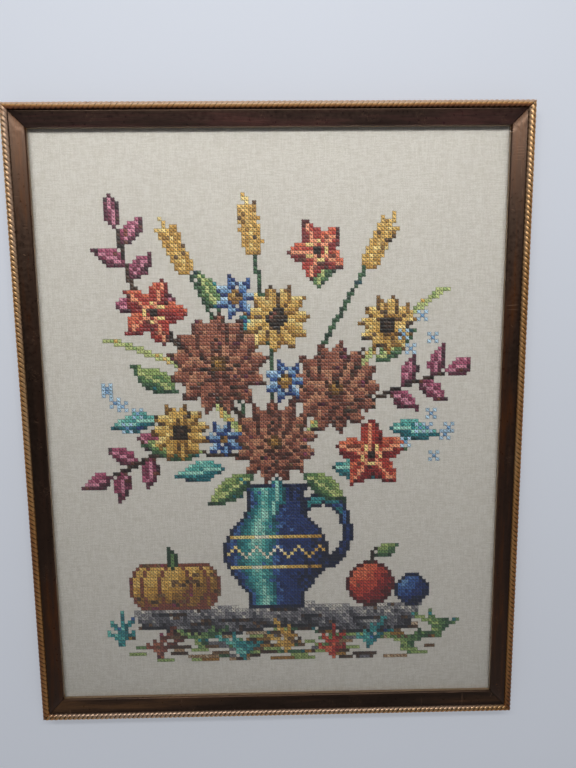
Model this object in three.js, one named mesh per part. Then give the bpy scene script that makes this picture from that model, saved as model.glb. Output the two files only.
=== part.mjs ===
// Needlework picture in a glazed wooden frame, lying on its back.
//
// Millimetres, +Z up. The back of the frame is the plane z = 0 and the origin is in the
// middle of it. +X is the picture's right, +Y the picture's top, +Z the way it faces.
//
// The frame is four lengths of one moulding, mitred at the corners. Each length is a
// wooden rail with a rounded inner nose and a rebate behind it, and a gilt bead in a
// ledge along its outer edge. The rebate holds the glass, the stitched linen and a
// backing board, one behind another.

import * as THREE from 'three';

// ---- driving dimensions -------------------------------------------------------------

const FRAME_WIDTH = 457.4;      // over the beads, left to right
const FRAME_HEIGHT = 570.4;     // over the beads, bottom to top
const FRAME_DEPTH = 19;         // back of the rails to the crown of the bead
const FIT_GAP = 0.3;            // clearance between two pieces that meet

const MOULDING_WIDTH = 20.2;    // outside of the bead to the nose of the rail
const BEAD_DIAMETER = 6.3;
const BEAD_SIDES = 16;
const OUTER_WALL = 0.6;         // the rail's side stands this far inside the bead
const SHOULDER_RADIUS = 1.0;    // rounding beside the bead, which leaves a dark quirk
const FACE_DROP = 1.6;          // crown of the bead down to the rail's face at the shoulder
const FACE_SLOPE = 13 * Math.PI / 180;   // the face falls towards the picture
const NOSE_RADIUS = 1.9;        // rounded inner edge of the face

const REBATE_WIDTH = 6;         // how far the rail laps over the glass
const REBATE_CEILING = 10.0;    // height of the rebate's shoulder above the back

const GLASS_THICKNESS = 2;
const STITCH_ROOM = 0.9;        // the raised stitches keep the linen this far off the glass
const LINEN_THICKNESS = 1;
const BOARD_THICKNESS = 3;

// ---- finishes -----------------------------------------------------------------------

const finish = (color, roughness, metalness = 0) =>
  new THREE.MeshStandardMaterial({ color, roughness, metalness });

const walnut = () => finish('#4a3020', 0.4);
const gilt = () => finish('#b98a52', 0.42, 0.7);
const pane = () => finish('#dfe6e4', 0.05);
const cream = () => finish('#cfc9b8', 0.9);
const greyboard = () => finish('#8d7a60', 0.85);

// ---- the moulding's two sections ------------------------------------------------------
//
// A section is drawn with x = distance inwards from the outside of the bead and
// y = height above the back.

const beadRadius = BEAD_DIAMETER / 2;
const beadCentre = { inset: beadRadius, height: FRAME_DEPTH - beadRadius };
const shoulderInset = BEAD_DIAMETER + FIT_GAP;
const rebateInset = MOULDING_WIDTH - REBATE_WIDTH;

function railSection() {
  const ledge = beadCentre.height - beadRadius - FIT_GAP;
  const shoulder = {
    x: shoulderInset + SHOULDER_RADIUS,
    y: FRAME_DEPTH - FACE_DROP - SHOULDER_RADIUS,
  };
  // The face is the line that touches both roundings, so the nose's centre lies where
  // that line has fallen to.
  const run = MOULDING_WIDTH - NOSE_RADIUS - shoulder.x;
  const growth = NOSE_RADIUS - SHOULDER_RADIUS;
  const nose = {
    x: MOULDING_WIDTH - NOSE_RADIUS,
    y: shoulder.y - run * Math.tan(FACE_SLOPE) - growth / Math.cos(FACE_SLOPE),
  };
  const faceNormal = Math.PI / 2 - FACE_SLOPE;
  const shape = new THREE.Shape();
  shape.moveTo(OUTER_WALL, 0);
  shape.lineTo(rebateInset, 0);
  shape.lineTo(rebateInset, REBATE_CEILING);
  shape.lineTo(MOULDING_WIDTH, REBATE_CEILING);
  shape.absarc(nose.x, nose.y, NOSE_RADIUS, 0, faceNormal);
  shape.absarc(shoulder.x, shoulder.y, SHOULDER_RADIUS, faceNormal, Math.PI);
  shape.lineTo(shoulderInset, ledge);
  shape.lineTo(OUTER_WALL, ledge);
  shape.closePath();
  return shape;
}

function beadSection() {
  const shape = new THREE.Shape();
  for (let i = 0; i < BEAD_SIDES; i++) {
    const angle = (i / BEAD_SIDES) * 2 * Math.PI;
    const x = beadCentre.inset + beadRadius * Math.cos(angle);
    const y = beadCentre.height + beadRadius * Math.sin(angle);
    if (i === 0) shape.moveTo(x, y);
    else shape.lineTo(x, y);
  }
  shape.closePath();
  return shape;
}

// ---- one mitred length ------------------------------------------------------------------
//
// The section runs between two 45 degree cuts, so the length shortens by its inset at
// each end. Half of the fitting gap, measured square to the cut, is taken off there too.

function mitredLength(section, outerLength) {
  const geometry = new THREE.ExtrudeGeometry(section, {
    depth: 1, bevelEnabled: false, curveSegments: 6,
  });
  const cutBack = (FIT_GAP / 2) * Math.SQRT2;
  const position = geometry.attributes.position;
  for (let i = 0; i < position.count; i++) {
    const inset = position.getX(i);
    const half = outerLength / 2 - inset - cutBack;
    position.setZ(i, (position.getZ(i) * 2 - 1) * half);
  }
  geometry.deleteAttribute('uv');
  geometry.computeVertexNormals();
  return geometry;
}

// Lays a length on one side of the frame. `turn` is the side's angle about Z, with 0 for
// the bottom side: there the inset runs towards +Y and the length along -X.
function laidOn(mesh, turn, distance) {
  mesh.rotation.set(Math.PI / 2, Math.PI / 2, 0, 'XYZ');
  const arm = new THREE.Group();
  arm.add(mesh);
  mesh.position.set(0, -distance, 0);
  arm.rotation.z = turn;
  return arm;
}

const sides = [
  { side: 'bottom', turn: 0, length: FRAME_WIDTH, distance: FRAME_HEIGHT / 2 },
  { side: 'right', turn: Math.PI / 2, length: FRAME_HEIGHT, distance: FRAME_WIDTH / 2 },
  { side: 'top', turn: Math.PI, length: FRAME_WIDTH, distance: FRAME_HEIGHT / 2 },
  { side: 'left', turn: -Math.PI / 2, length: FRAME_HEIGHT, distance: FRAME_WIDTH / 2 },
];

function moulding() {
  const group = new THREE.Group();
  for (const { side, turn, length, distance } of sides) {
    const rail = new THREE.Mesh(mitredLength(railSection(), length), walnut());
    rail.name = `rail_${side}`;
    const bead = new THREE.Mesh(mitredLength(beadSection(), length), gilt());
    bead.name = `bead_${side}`;
    group.add(laidOn(rail, turn, distance), laidOn(bead, turn, distance));
  }
  return group;
}

// ---- what the rebate holds ----------------------------------------------------------------

function rebateFilling() {
  const group = new THREE.Group();
  const width = FRAME_WIDTH - 2 * (rebateInset + FIT_GAP);
  const height = FRAME_HEIGHT - 2 * (rebateInset + FIT_GAP);
  let ceiling = REBATE_CEILING - FIT_GAP;
  const layers = [
    { name: 'glass', thickness: GLASS_THICKNESS, below: STITCH_ROOM, material: pane() },
    { name: 'linen', thickness: LINEN_THICKNESS, below: FIT_GAP, material: cream() },
    { name: 'backing_board', thickness: BOARD_THICKNESS, below: 0, material: greyboard() },
  ];
  for (const { name, thickness, below, material } of layers) {
    const layer = new THREE.Mesh(new THREE.BoxGeometry(width, height, thickness), material);
    layer.name = name;
    layer.position.z = ceiling - thickness / 2;
    ceiling -= thickness + below;
    group.add(layer);
  }
  return group;
}

// ---- the whole picture --------------------------------------------------------------------

const picture = new THREE.Group();
picture.add(moulding(), rebateFilling());

export default picture;
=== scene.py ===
"""Cross-stitch picture in a glazed wooden frame, lying on its back.

A linen worked with an autumn still life is stretched over a backing board and stands under
glass, in a narrow walnut-stained moulding with a gilt rope edge. Lengths are in millimetres
in the frame of the CAD part: +X to the picture's right, +Y to its top, +Z out of its face.
"""

import logging
import math
from collections.abc import Iterable, Sequence
from dataclasses import dataclass, field
from enum import Enum

import bpy
import numpy as np
from mathutils import Euler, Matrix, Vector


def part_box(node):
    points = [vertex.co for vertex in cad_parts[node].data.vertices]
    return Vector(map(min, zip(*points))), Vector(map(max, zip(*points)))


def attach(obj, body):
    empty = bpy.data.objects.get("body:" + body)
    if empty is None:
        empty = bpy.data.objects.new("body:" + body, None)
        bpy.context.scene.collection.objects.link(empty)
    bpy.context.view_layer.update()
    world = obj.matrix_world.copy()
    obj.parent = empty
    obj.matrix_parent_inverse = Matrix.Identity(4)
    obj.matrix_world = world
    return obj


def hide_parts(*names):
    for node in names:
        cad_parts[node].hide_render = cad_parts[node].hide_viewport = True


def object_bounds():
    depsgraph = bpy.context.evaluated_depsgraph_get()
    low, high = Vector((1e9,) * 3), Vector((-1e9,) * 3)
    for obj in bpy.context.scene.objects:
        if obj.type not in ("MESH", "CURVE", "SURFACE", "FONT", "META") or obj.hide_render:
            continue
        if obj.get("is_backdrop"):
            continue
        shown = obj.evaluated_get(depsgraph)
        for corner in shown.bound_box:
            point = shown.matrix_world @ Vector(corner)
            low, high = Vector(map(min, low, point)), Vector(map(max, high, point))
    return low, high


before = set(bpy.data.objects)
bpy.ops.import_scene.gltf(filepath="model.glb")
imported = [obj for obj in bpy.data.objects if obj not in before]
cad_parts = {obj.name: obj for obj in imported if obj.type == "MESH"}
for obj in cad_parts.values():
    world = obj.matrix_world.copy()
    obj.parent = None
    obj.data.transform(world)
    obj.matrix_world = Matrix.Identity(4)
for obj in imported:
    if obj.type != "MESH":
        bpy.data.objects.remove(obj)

MM = 0.001
# Each bar of the frame takes its grain this many mm further on than the last.
BAR_APART = 731.0
log = logging.getLogger("picture")

# What holds a tree of nodes.
Owner = bpy.types.Material | bpy.types.World


# ---------------------------------------------------------------- shared helpers


def linear(colour: str) -> tuple[float, float, float, float]:
    """Turns a hex colour into linear light.

    Args:
        colour: sRGB colour as "#RRGGBB".

    Returns:
        Linear red, green and blue with an alpha of 1.
    """
    parts = [int(colour[i : i + 2], 16) / 255 for i in (1, 3, 5)]
    light = [p / 12.92 if p <= 0.04045 else ((p + 0.055) / 1.055) ** 2.4 for p in parts]
    return (*light, 1.0)


def new_material(name: str) -> tuple[bpy.types.Material, bpy.types.Node]:
    """Starts a node material with its shader and output joined.

    Args:
        name: name of the finish.

    Returns:
        The material and its Principled shader.
    """
    material = bpy.data.materials.new(name)
    material.use_nodes = True
    return material, material.node_tree.nodes["Principled BSDF"]


def fill(owner: Owner, node: bpy.types.Node, inputs: dict[str | int, object]) -> None:
    """Sets a node's inputs.

    Args:
        owner: what the node is in.
        node: the node.
        inputs: a value, or a socket to link from, for each input by name or number.
    """
    for key, value in inputs.items():
        if isinstance(value, bpy.types.NodeSocket):
            owner.node_tree.links.new(value, node.inputs[key])
        else:
            node.inputs[key].default_value = value


def add_node(
    owner: Owner,
    kind: str,
    inputs: dict[str | int, object] | None = None,
    stops: Sequence[tuple[float, str]] = (),
    **settings: object,
) -> bpy.types.Node:
    """Adds one node with its settings and links.

    Args:
        owner: material or world that gets the node.
        kind: what Blender calls the node's type, after ShaderNode.
        inputs: a value, or a socket to link from, for each input by name or number.
        stops: places and hex colours of a colour ramp.
        settings: the node's own properties.

    Returns:
        The new node.
    """
    node = owner.node_tree.nodes.new(f"ShaderNode{kind}")
    for name, value in settings.items():
        setattr(node, name, value)
    fill(owner, node, inputs or {})
    if stops:
        elements = node.color_ramp.elements
        while len(elements) < len(stops):
            elements.new(1.0)
        for element, (place, colour) in zip(elements, stops):
            element.position = place
            element.color = linear(colour)
    return node


def grid_quads(stations: int, around: int, closed: bool, copies: int = 1) -> np.ndarray:
    """Joins a grid of points, or many like grids, with four-sided faces.

    Args:
        stations: rows of points along the piece.
        around: points in each row.
        closed: whether the last point of a row joins the first.
        copies: how many grids follow each other in the list of points.

    Returns:
        Four point numbers a face.
    """
    row = np.arange(stations - 1)[:, None] * around
    here = np.arange(around if closed else around - 1)[None, :]
    after = (here + 1) % around
    quads = np.stack([row + here, row + after, row + around + after, row + around + here], -1)
    steps = np.arange(copies)[:, None, None] * stations * around
    return (quads.reshape(1, -1, 4) + steps).reshape(-1, 4)


def put_in_scene(name: str, data: bpy.types.ID) -> bpy.types.Object:
    """Puts a new object in the scene.

    Args:
        name: the object's name.
        data: its mesh, camera or light.

    Returns:
        The object.
    """
    thing = bpy.data.objects.new(name, data)
    bpy.context.scene.collection.objects.link(thing)
    return thing


def make_piece(
    name: str,
    points: np.ndarray,
    quads: np.ndarray,
    material: bpy.types.Material,
    caps: Iterable[Sequence[int]] = (),
    attributes: dict[str, np.ndarray] | None = None,
) -> bpy.types.Object:
    """Makes a mesh object that rides on the part.

    Args:
        name: the piece's name.
        points: its points in millimetres.
        quads: its four-sided faces.
        material: its finish.
        caps: faces with any number of sides, such as the ends of a bar.
        attributes: values for each point, one number or three, by name.

    Returns:
        The new object.
    """
    caps = [np.asarray(cap) for cap in caps]
    corners = np.concatenate([quads.ravel(), *caps])
    counts = np.array([4] * len(quads) + [len(cap) for cap in caps])
    mesh = bpy.data.meshes.new(name)
    mesh.vertices.add(len(points))
    mesh.vertices.foreach_set("co", (points * MM).ravel())
    mesh.loops.add(len(corners))
    mesh.loops.foreach_set("vertex_index", corners)
    mesh.polygons.add(len(counts))
    mesh.polygons.foreach_set("loop_start", np.concatenate([[0], np.cumsum(counts)[:-1]]))
    for key, values in (attributes or {}).items():
        single = values.ndim == 1
        layer = mesh.attributes.new(key, "FLOAT" if single else "FLOAT_VECTOR", "POINT")
        layer.data.foreach_set("value" if single else "vector", values.ravel())
    mesh.update(calc_edges=True)
    mesh.validate()
    mesh.materials.append(material)
    piece = put_in_scene(name, mesh)
    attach(piece, "root")
    return piece


def box_mm(node: str) -> tuple[np.ndarray, np.ndarray]:
    """Lowest and highest corner of a CAD node, in millimetres."""
    low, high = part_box(node)
    return np.array(low) / MM, np.array(high) / MM


class Side(Enum):
    """The four sides of the frame, numbered by the quarter turns that lay a bottom bar there."""

    BOTTOM = 0
    RIGHT = 1
    TOP = 2
    LEFT = 3


# ---------------------------------------------------------------- finishes


@dataclass(frozen=True)
class Nick:
    """Short scratch through the lacquer of one bar, in mm along it from its middle and across."""

    side: Side
    along: float
    inset: float
    length: float
    # Angle to the bar in degrees.
    turn: float
    strength: float


@dataclass(frozen=True)
class StainedWalnut:
    """Hardwood stained to dark walnut and lacquered satin, with the marks of long use.

    The stain lies deep in some lengths and thin in others, where the red of the wood comes
    through, and this also paints light along each bar. Pores stay darker than the flesh, fine
    scratches run across the grain, and the lacquer gives the whole a soft warm gloss. Shade is
    painted beside the rope, and light is painted along the sight edge.
    """

    deep: str = "#160E0C"
    stain: str = "#2F211D"
    flesh: str = "#4C2E23"
    red: str = "#6E412A"
    pore: str = "#0F0907"
    scratch: str = "#8A6B54"
    figure_width: float = 4.5
    patch_width: float = 16.0
    fleck_width: float = 0.9
    # How much the figure, the patches and the flecks each change the depth of the stain.
    mottling: tuple[float, float, float] = (0.9, 1.1, 0.35)
    scratch_width: float = 0.45
    # Fine scratches keep to the places that were handled most, which are this wide.
    handled_width: float = 22.0
    # How dark the painted shade beside the rope gets.
    rope_shade_depth: float = 0.85
    # Real pores are 0.1 mm wide. They are drawn at four times that, so that they show.
    pore_width: float = 0.4
    grain_stretch: float = 22.0
    lacquer_roughness: float = 0.32
    # Wood fibres under the lacquer throw back a warm light, which tints the gloss.
    fibre_light: str = "#FFD2B4"
    # Painted light: the inner wall along the sight edge is painted this pale colour.
    lit_sight_edge: str = "#9C8162"
    nick_width: float = 0.8
    nicks: tuple[Nick, ...] = (
        Nick(Side.RIGHT, 246.4, 12.5, 9.0, 88.0, 0.35),
        Nick(Side.RIGHT, 243.9, 12.3, 11.0, 92.0, 0.4),
        Nick(Side.RIGHT, 241.6, 11.5, 10.0, 89.0, 0.45),
        Nick(Side.RIGHT, 238.9, 13.0, 9.0, 91.0, 0.35),
        Nick(Side.RIGHT, 235.8, 13.9, 7.0, 87.0, 0.3),
        Nick(Side.RIGHT, 226.0, 10.9, 12.0, 4.0, 0.3),
        Nick(Side.RIGHT, 207.8, 9.3, 10.0, 2.0, 0.4),
        Nick(Side.RIGHT, 193.5, 16.4, 4.0, 70.0, 0.5),
        Nick(Side.RIGHT, 110.5, 13.9, 13.0, 94.0, 0.75),
        Nick(Side.RIGHT, 106.7, 13.7, 12.0, 89.0, 0.5),
        Nick(Side.RIGHT, 91.9, 13.6, 3.5, 40.0, 0.5),
        Nick(Side.LEFT, -158.5, 12.7, 3.0, 60.0, 0.9),
        Nick(Side.LEFT, -181.5, 15.2, 6.0, 90.0, 0.4),
        Nick(Side.LEFT, -184.0, 14.7, 5.0, 90.0, 0.4),
        Nick(Side.LEFT, -207.6, 9.7, 6.0, 85.0, 0.35),
        Nick(Side.LEFT, -9.8, 13.1, 5.0, 70.0, 0.45),
        Nick(Side.BOTTOM, -201.9, 8.9, 5.5, 92.0, 0.8),
        Nick(Side.BOTTOM, -94.0, 16.9, 5.0, 75.0, 0.6),
        Nick(Side.BOTTOM, 180.6, 13.7, 12.5, 86.0, 0.85),
        Nick(Side.BOTTOM, 172.0, 19.3, 17.0, 1.0, 0.6),
        Nick(Side.BOTTOM, 209.5, 16.3, 6.0, 60.0, 0.6),
        Nick(Side.BOTTOM, 140.5, 11.9, 9.0, 90.0, 0.3),
    )

    def material(self) -> bpy.types.Material:
        """Builds the finish.

        It reads "timber", the place along, across and up the bar in mm, "thin", how thin the
        stain is, which also carries painted light, "sight", 1 on the sight edge, where light is
        painted, "soil", 1 where shade is painted beside the rope, and "cast", the turn of its hue,
        its fullness and its value.

        Returns:
            The finish.
        """
        material, shader = new_material("walnut_stained_satin_lacquer")
        thin, sight, rope_shade = (
            add_node(material, "Attribute", attribute_name=key).outputs["Fac"]
            for key in ("thin", "sight", "rope_shade")
        )
        figure = self.noise(material, (1 / self.grain_stretch, 1, 1), self.figure_width, 4.0)
        patches = self.noise(material, (0.2, 1, 1), self.patch_width, 2.0)
        pores = self.noise(material, (1 / self.grain_stretch, 1, 1), self.pore_width, 2.0)
        flecks = self.noise(material, (0.06, 1, 1), self.fleck_width, 1.0)
        # The stain's thinness, partly painted light along the bar, sets the depth of its colour.
        depth = thin
        for part, weight in zip((figure, patches, flecks), self.mottling):
            centred = add_node(material, "Math", {0: part, 1: 0.5}, operation="SUBTRACT").outputs[0]
            depth = add_node(
                material, "Math", {0: centred, 1: weight, 2: depth}, operation="MULTIPLY_ADD"
            ).outputs[0]
        colour = add_node(
            material,
            "ValToRGB",
            {"Fac": depth},
            stops=((0.1, self.deep), (0.5, self.stain), (0.75, self.flesh), (1.0, self.red)),
        ).outputs["Color"]
        cast = add_node(material, "Attribute", attribute_name="cast").outputs["Vector"]
        hue, fullness, value = add_node(material, "SeparateXYZ", {0: cast}).outputs
        turned = {"Hue": hue, "Saturation": fullness, "Value": value, "Color": colour}
        colour = add_node(material, "HueSaturation", turned).outputs["Color"]
        open_pores = self.above(material, pores, 0.52, 0.68, 0.5)
        scoring = self.noise(material, (1, 0.05, 1), self.scratch_width, 1.0)
        handling = self.noise(material, (1, 1, 1), self.handled_width, 1.0)
        scored = self.above(material, scoring, 0.6, 0.7, 0.5)
        handled = self.above(material, handling, 0.62, 0.66, 1.0)
        scratched = add_node(material, "Math", {0: scored, 1: handled}, operation="MULTIPLY")
        # Painted shade: the face beside the rope is darkened in the colour of the pores.
        rope_shading = add_node(material, "Math", {0: rope_shade, 1: self.rope_shade_depth}, operation="MULTIPLY")
        for share, tone in (
            (open_pores, self.pore),
            (scratched.outputs[0], self.scratch),
            # Painted light along the sight edge.
            (sight, self.lit_sight_edge),
            (rope_shading.outputs[0], self.pore),
            (self.nicked(material), self.scratch),
        ):
            layers = {0: share, 6: colour, 7: linear(tone)}
            colour = add_node(material, "Mix", layers, data_type="RGBA").outputs[2]
        scuffs = {
            "Value": self.noise(material, (1, 1, 1), 3.0, 4.0),
            "From Min": 0.3,
            "From Max": 0.7,
            "To Min": self.lacquer_roughness - 0.06,
            "To Max": self.lacquer_roughness + 0.1,
        }
        relief = add_node(material, "Bump", {"Height": pores, "Strength": 0.12, "Distance": 0.1 * MM})
        look = {
            "Base Color": colour,
            "Roughness": add_node(material, "MapRange", scuffs).outputs["Result"],
            "Normal": relief.outputs["Normal"],
            "Specular IOR Level": 1.0,
            "Specular Tint": linear(self.fibre_light),
        }
        fill(material, shader, look)
        return material

    def nicked(self, material: bpy.types.Material) -> bpy.types.NodeSocket:
        """Adds the nicks.

        Args:
            material: material that gets them.

        Returns:
            The strength of a nick along its middle, and 0 beside it.
        """
        place = add_node(material, "Attribute", attribute_name="timber").outputs["Vector"]
        worn = add_node(material, "Value").outputs[0]
        for nick in self.nicks:
            start = BAR_APART * nick.side.value
            spread = {
                "Vector": place,
                "Location": (nick.along + start, nick.inset + start, 0),
                "Rotation": (0, 0, math.radians(nick.turn)),
                "Scale": (nick.length / 2, self.nick_width / 2, 1e6),
            }
            laid = add_node(material, "Mapping", spread, vector_type="TEXTURE").outputs["Vector"]
            near = add_node(material, "TexGradient", {"Vector": laid}, gradient_type="SPHERICAL")
            mark = self.above(material, near.outputs["Fac"], 0.0, 0.5, nick.strength)
            worn = add_node(material, "Math", {0: worn, 1: mark}, operation="MAXIMUM").outputs[0]
        return worn

    def noise(
        self,
        material: bpy.types.Material,
        stretch: tuple[float, float, float],
        size: float,
        detail: float,
    ) -> bpy.types.NodeSocket:
        """Adds a noise laid along the bar.

        Args:
            material: material that gets it.
            stretch: scale along, across and up the bar.
            size: width of its marks in mm.
            detail: how many finer steps it has.

        Returns:
            Its value, around 0.5.
        """
        place = add_node(material, "Attribute", attribute_name="timber").outputs["Vector"]
        laid = add_node(material, "VectorMath", {0: place, 1: stretch}, operation="MULTIPLY").outputs[0]
        marks = {"Vector": laid, "Scale": 1 / size, "Detail": detail}
        return add_node(material, "TexNoise", marks).outputs["Fac"]

    def above(
        self,
        material: bpy.types.Material,
        value: bpy.types.NodeSocket,
        low: float,
        high: float,
        most: float,
    ) -> bpy.types.NodeSocket:
        """Adds a step in a value.

        Args:
            material: material that gets it.
            value: the value.
            low: where the step begins.
            high: where it ends.
            most: how high it is.

        Returns:
            0 below the step, and `most` above it.
        """
        step = {"Value": value, "From Min": low, "From Max": high, "To Max": most}
        return add_node(material, "MapRange", step).outputs["Result"]


@dataclass(frozen=True)
class AntiqueGilt:
    """Bronze-gilt moulded rope, toned with a brown glaze.

    The glaze was wiped off the crowns and stays in the grooves, so the rope reads as bright
    strands with dark lines between them, rubbed here and there to the red-brown ground. The
    flank that faces the lamp is painted paler and the other is painted in shade.
    """

    # From where the toning is heavy to where it was wiped clean.
    toning: tuple[str, ...] = ("#8E5C40", "#BE8250", "#E0A565", "#EFC08A", "#FBD4B4")
    ground: str = "#9A5C3B"
    glaze: str = "#3A2512"
    # The oil size over the leaf warms the light it throws back.
    size_light: str = "#FFDDB4"
    roughness: float = 0.34
    # Width in mm of the rubbed places, and of the slow changes in the toning.
    rub: float = 6.0
    drift: float = 70.0
    # How much the toning changes from place to place.
    uneven: float = 0.8
    # What share of the toning's range a length wiped by 1 has reached.
    reach: float = 0.75

    def material(self) -> bpy.types.Material:
        """Builds the finish.

        It reads "crown", 0 in a groove and 1 on a strand, and lower on a flank painted in shade,
        "clean", how far the toning was wiped off that length and how pale its painted light is, and
        "leaf", how much of the gilding is left.

        Returns:
            The finish.
        """
        material, shader = new_material("bronze_gilt_brown_glaze")
        crown, clean, leaf = (
            add_node(material, "Attribute", attribute_name=key).outputs["Fac"]
            for key in ("crown", "clean", "leaf")
        )
        place = add_node(material, "TexCoord").outputs["Object"]
        rubbing = {"Vector": place, "Scale": 1 / (self.rub * MM), "Detail": 4.0, "Roughness": 0.6}
        rub = add_node(material, "TexNoise", rubbing).outputs["Fac"]
        # The crown mark also carries the painted shade of the flank turned from the lamp.
        wiped = add_node(material, "Math", {0: rub, 1: 0.35, 2: crown}, operation="MULTIPLY_ADD")
        off = {"Value": wiped.outputs[0], "From Min": 0.45, "From Max": 0.8}
        bare = add_node(material, "MapRange", off).outputs["Result"]
        through = {"Value": rub, "From Min": 0.6, "From Max": 0.74, "To Max": 0.8}
        worn = add_node(material, "MapRange", through).outputs["Result"]
        brush = {"Vector": place, "Scale": 1 / (self.drift * MM), "Detail": 2.0}
        tone = add_node(material, "TexNoise", brush).outputs["Fac"]
        for operation, values in (
            ("SUBTRACT", {1: 0.5}),
            ("MULTIPLY_ADD", {1: self.uneven, 2: clean}),
            ("MULTIPLY", {1: self.reach}),
        ):
            tone = add_node(material, "Math", {0: tone, **values}, operation=operation).outputs[0]
        last = len(self.toning) - 1
        stops = [(step / last, colour) for step, colour in enumerate(self.toning)]
        toned = add_node(material, "ValToRGB", {"Fac": tone}, stops).outputs["Color"]
        for share, low, high in ((worn, None, linear(self.ground)), (bare, linear(self.glaze), None)):
            layers = {0: share, 6: low or toned, 7: high or toned}
            toned = add_node(material, "Mix", layers, data_type="RGBA").outputs[2]
        # Where the leaf is thin its pale ground shows through.
        metal = add_node(material, "Math", {0: bare, 1: leaf}, operation="MULTIPLY").outputs[0]
        relief = add_node(material, "Bump", {"Height": rub, "Strength": 0.25, "Distance": 0.2 * MM})
        look = {
            "Base Color": toned,
            "Metallic": metal,
            "Roughness": self.roughness,
            "Normal": relief.outputs["Normal"],
            "Specular Tint": linear(self.size_light),
        }
        fill(material, shader, look)
        return material


@dataclass(frozen=True)
class WovenLinen:
    """Plain-woven, half-bleached linen of uneven yarn.

    Thick places in the yarn, the slubs, run across the cloth as short raised streaks, and the
    weave gives the flat colour a soft grain.
    """

    flax: str = "#D4CDC4"
    shade: str = "#CAC3B8"
    pale: str = "#DBD5CD"
    # The yarns are 0.45 mm apart. They are drawn at half a stitch, so that they show.
    yarn: float = 1.7
    slub_length: float = 7.0
    slub_width: float = 0.9

    def material(self) -> bpy.types.Material:
        """Builds the finish in the picture's own X and Y.

        Returns:
            The finish.
        """
        material, shader = new_material("linen_half_bleached_plain_weave")
        place = add_node(material, "TexCoord").outputs["Object"]
        streaks = []
        for scale in (
            (1 / self.slub_length, 1 / self.slub_width, 1.0),
            (1 / self.slub_width, 0.7 / self.slub_length, 1.0),
        ):
            spread = {0: place, 1: tuple(s / MM for s in scale)}
            stretched = add_node(material, "VectorMath", spread, operation="MULTIPLY").outputs[0]
            yarn = {"Vector": stretched, "Scale": 1.0, "Detail": 2.5, "Roughness": 0.6}
            streaks.append(add_node(material, "TexNoise", yarn).outputs["Fac"])
        across, down = streaks
        slubs = add_node(material, "Math", {0: down, 1: 0.8, 2: across}, operation="MULTIPLY_ADD")
        angle = {0: place, 1: (math.pi / (self.yarn * MM),) * 3}
        turns = add_node(material, "VectorMath", angle, operation="MULTIPLY").outputs[0]
        parts = add_node(material, "SeparateXYZ", {0: turns}).outputs
        warp, weft = (
            add_node(material, "Math", {0: part}, operation="SINE").outputs[0] for part in parts[:2]
        )
        weave = add_node(material, "Math", {0: warp, 1: weft}, operation="MULTIPLY").outputs[0]
        raised = {0: weave, 1: 0.05, 2: slubs.outputs[0]}
        height = add_node(material, "Math", raised, operation="MULTIPLY_ADD").outputs[0]
        stops = ((0.62, self.shade), (0.90, self.flax), (1.0, self.pale))
        relief = add_node(material, "Bump", {"Height": height, "Strength": 0.35, "Distance": 0.25 * MM})
        look = {
            "Base Color": add_node(material, "ValToRGB", {"Fac": height}, stops).outputs["Color"],
            "Roughness": 0.85,
            "Normal": relief.outputs["Normal"],
            "Specular IOR Level": 0.25,
            "Sheen Weight": 0.15,
        }
        fill(material, shader, look)
        return material


@dataclass(frozen=True)
class StrandedCotton:
    """Mercerised stranded cotton of one colour family, from its darkest shade to its lightest.

    The strands lie side by side with a silky lengthwise sheen. Each crossing also carries a
    painted highlight, and the holes between crossings are painted dark as shade.
    """

    family: str
    shades: tuple[str, ...]
    # Cotton fibres are far finer. They are drawn as fine lengthwise lines that show.
    fibre: float = 0.16
    fibre_stretch: float = 9.0

    def material(self) -> bpy.types.Material:
        """Builds the finish.

        It reads "shade", 0 dark to 1 light, "lay" along the thread in mm, and "arch", painted
        light and shade: 0 where the thread dives into a hole and 1 along its back.

        Returns:
            The finish.
        """
        material, shader = new_material(f"stranded_cotton_{self.family}")
        shade = add_node(material, "Attribute", attribute_name="shade").outputs["Fac"]
        lay = add_node(material, "Attribute", attribute_name="lay").outputs["Vector"]
        arch = add_node(material, "Attribute", attribute_name="arch").outputs["Fac"]
        last = len(self.shades) - 1
        stops = [(step / last, colour) for step, colour in enumerate(self.shades)]
        dye = add_node(material, "ValToRGB", {"Fac": shade}, stops).outputs["Color"]
        spread = {0: lay, 1: (1 / self.fibre_stretch, 1.0, 1.0)}
        along = add_node(material, "VectorMath", spread, operation="MULTIPLY").outputs[0]
        strands = {"Vector": along, "Scale": 1 / self.fibre, "Detail": 1.0}
        fibres = add_node(material, "TexNoise", strands).outputs["Fac"]
        streaks = {"Value": fibres, "From Min": 0.3, "From Max": 0.7, "To Min": 0.8, "To Max": 1.25}
        streak = add_node(material, "MapRange", streaks).outputs["Result"]
        # Painted shade and highlight: the dye is darkened into the holes and down the sides of a leg, and
        # lightened along its back.
        depth = add_node(material, "MapRange", {"Value": arch, "To Min": 0.12, "To Max": 1.6})
        value = add_node(material, "Math", {0: streak, 1: depth.outputs[0]}, operation="MULTIPLY")
        lit = {"Color": dye, "Value": value.outputs[0]}
        relief = add_node(material, "Bump", {"Height": fibres, "Strength": 0.7, "Distance": 0.12 * MM})
        look = {
            "Base Color": add_node(material, "HueSaturation", lit).outputs["Color"],
            "Roughness": 0.32,
            "Normal": relief.outputs["Normal"],
            "Specular IOR Level": 0.8,
            "Sheen Weight": 0.2,
            "Sheen Roughness": 0.4,
        }
        fill(material, shader, look)
        return material


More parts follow.
